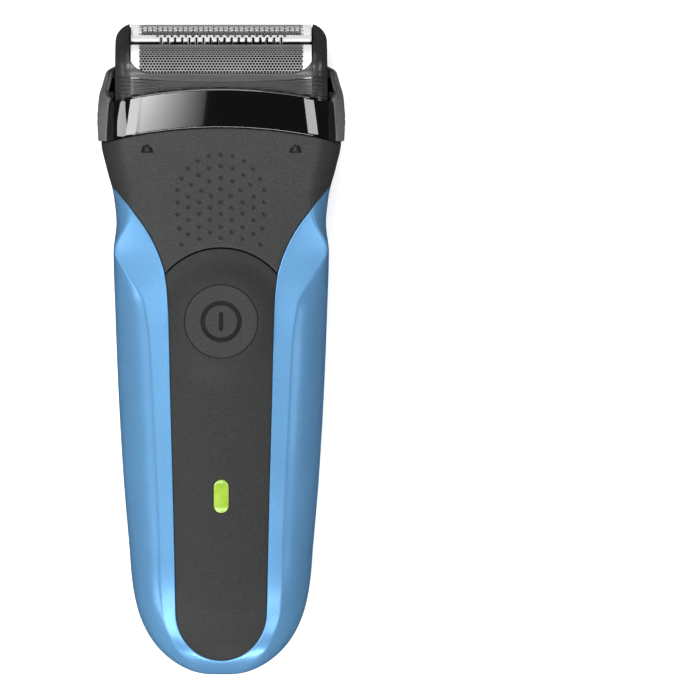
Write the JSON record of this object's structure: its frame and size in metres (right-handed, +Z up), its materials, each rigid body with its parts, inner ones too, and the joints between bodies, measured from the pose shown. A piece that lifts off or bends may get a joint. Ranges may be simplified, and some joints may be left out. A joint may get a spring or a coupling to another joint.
{
  "type": "electric foil shaver",
  "caption": "Cordless foil shaver with a waisted handle, round power button, gloss band, side release buttons and a lift-off cassette of foils and trimmer.",
  "frame": {"origin": "below the middle of the shaver, on the surface it lies on with its front face up", "axes": "+X across the shaver, +Y along the handle towards the shaving head, +Z up out of the front face"},
  "size_m": [0.0608, 0.16, 0.0401],
  "materials": {
    "blue_shell": "pearlescent lacquer",
    "charcoal_panel": "fine matte",
    "grip_rubber": "ribbed, matte",
    "gloss_black": "piano black",
    "black_plastic": "satin",
    "white_plastic": "satin",
    "green_lens": "translucent, lit from inside",
    "foil_steel": "polished, perforated",
    "steel": "plain",
    "brass": "plain",
    "cell_sleeve": "wrapped cell",
    "board": "solder mask"
  },
  "bodies": {
    "housing": {"front_shell": "blue_shell", "rear_shell": "blue_shell", "upper_front_panel": "charcoal_panel", "lower_front_panel": "charcoal_panel", "rear_grip": "grip_rubber", "gloss_band": "gloss_black", "head_base": "black_plastic", "button_seal": "grip_rubber", "indicator_lens": "green_lens", "release_spring_left": "steel", "release_spring_right": "steel", "chassis": "black_plastic", "battery": "cell_sleeve", "battery_tab_positive": "brass", "battery_tab_negative": "brass", "circuit_board": "board", "board_screw_lower": "steel", "board_screw_upper": "steel", "switch_housing": "black_plastic", "led": "white_plastic", "charge_chip": "black_plastic", "capacitor": "cell_sleeve", "charging_socket": "black_plastic", "socket_pin_left": "steel", "socket_pin_right": "steel", "drive_seal": "grip_rubber", "drive_flexure_left": "steel", "drive_flexure_right": "steel", "motor_bracket": "black_plastic", "motor_can": "steel", "head_screw_left": "steel", "head_screw_right": "steel"},
    "power_button": {"power_button": "charcoal_panel", "switch_plunger": "white_plastic"},
    "release_button_left": {"release_button_left": "charcoal_panel"},
    "release_button_right": {"release_button_right": "charcoal_panel"},
    "motor_rotor": {"motor_shaft": "steel", "eccentric_wheel": "white_plastic"},
    "drive_bridge": {"drive_bridge": "white_plastic", "drive_pin_front": "steel", "drive_pin_middle": "steel", "drive_pin_rear": "steel"},
    "cassette": {"foil_frame": "black_plastic"},
    "front_foil": {"front_foil": "foil_steel"},
    "rear_foil": {"rear_foil": "foil_steel"},
    "trimmer": {"trimmer_comb": "foil_steel"},
    "front_cutter": {"front_cutter_blades": "steel", "front_cutter_carrier": "white_plastic"},
    "rear_cutter": {"rear_cutter_blades": "steel", "rear_cutter_carrier": "white_plastic"},
    "trimmer_blade": {"trimmer_blade": "steel"}
  },
  "joints": [
    {"name": "power_press", "type": "slide", "parent": "housing", "child": "power_button", "axis": [0, 0, -1], "range_m": [0, 0.0008], "stiffness_N_per_m": 1500, "springref_m": -0.0006},
    {"name": "release_left_press", "type": "slide", "parent": "housing", "child": "release_button_left", "axis": [1, 0, 0], "range_m": [0, 0.0011], "stiffness_N_per_m": 1500, "springref_m": -0.0008, "deforming": ["release_spring_left"]},
    {"name": "release_right_press", "type": "slide", "parent": "housing", "child": "release_button_right", "axis": [-1, 0, 0], "range_m": [0, 0.0011], "stiffness_N_per_m": 1500, "springref_m": -0.0008, "deforming": ["release_spring_right"]},
    {"name": "motor_spin", "type": "hinge", "parent": "housing", "child": "motor_rotor", "pos_m": [0, 0.0579, 0.0203], "axis": [0, 0.9397, 0.342], "continuous": true},
    {"name": "drive_stroke", "type": "slide", "parent": "housing", "child": "drive_bridge", "axis": [1, 0, 0], "range_m": [-0.0012, 0.0012], "stiffness_N_per_m": 1200, "deforming": ["drive_flexure_left", "drive_flexure_right"]},
    {"name": "cassette_lift", "type": "slide", "parent": "housing", "child": "cassette", "axis": [0, 0.9397, 0.342], "range_m": [0, 0.03]},
    {"name": "front_foil_float", "type": "slide", "parent": "cassette", "child": "front_foil", "axis": [0, 0.9397, 0.342], "range_m": [-0.0015, 0], "stiffness_N_per_m": 500, "springref_m": 0.0015},
    {"name": "rear_foil_float", "type": "slide", "parent": "cassette", "child": "rear_foil", "axis": [0, 0.9397, 0.342], "range_m": [-0.0015, 0], "stiffness_N_per_m": 500, "springref_m": 0.0015},
    {"name": "trimmer_float", "type": "slide", "parent": "cassette", "child": "trimmer", "axis": [0, 0.9397, 0.342], "range_m": [-0.0015, 0], "stiffness_N_per_m": 500, "springref_m": 0.0015},
    {"name": "front_cutter_stroke", "type": "slide", "parent": "front_foil", "child": "front_cutter", "axis": [1, 0, 0], "range_m": [-0.0012, 0.0012]},
    {"name": "rear_cutter_stroke", "type": "slide", "parent": "rear_foil", "child": "rear_cutter", "axis": [1, 0, 0], "range_m": [-0.0012, 0.0012]},
    {"name": "trimmer_blade_stroke", "type": "slide", "parent": "trimmer", "child": "trimmer_blade", "axis": [1, 0, 0], "range_m": [-0.0012, 0.0012]}
  ],
  "couplings": [
    {"joint": "front_cutter_stroke", "follows": "drive_stroke", "ratio": 1},
    {"joint": "rear_cutter_stroke", "follows": "drive_stroke", "ratio": 1},
    {"joint": "trimmer_blade_stroke", "follows": "drive_stroke", "ratio": 1}
  ]
}
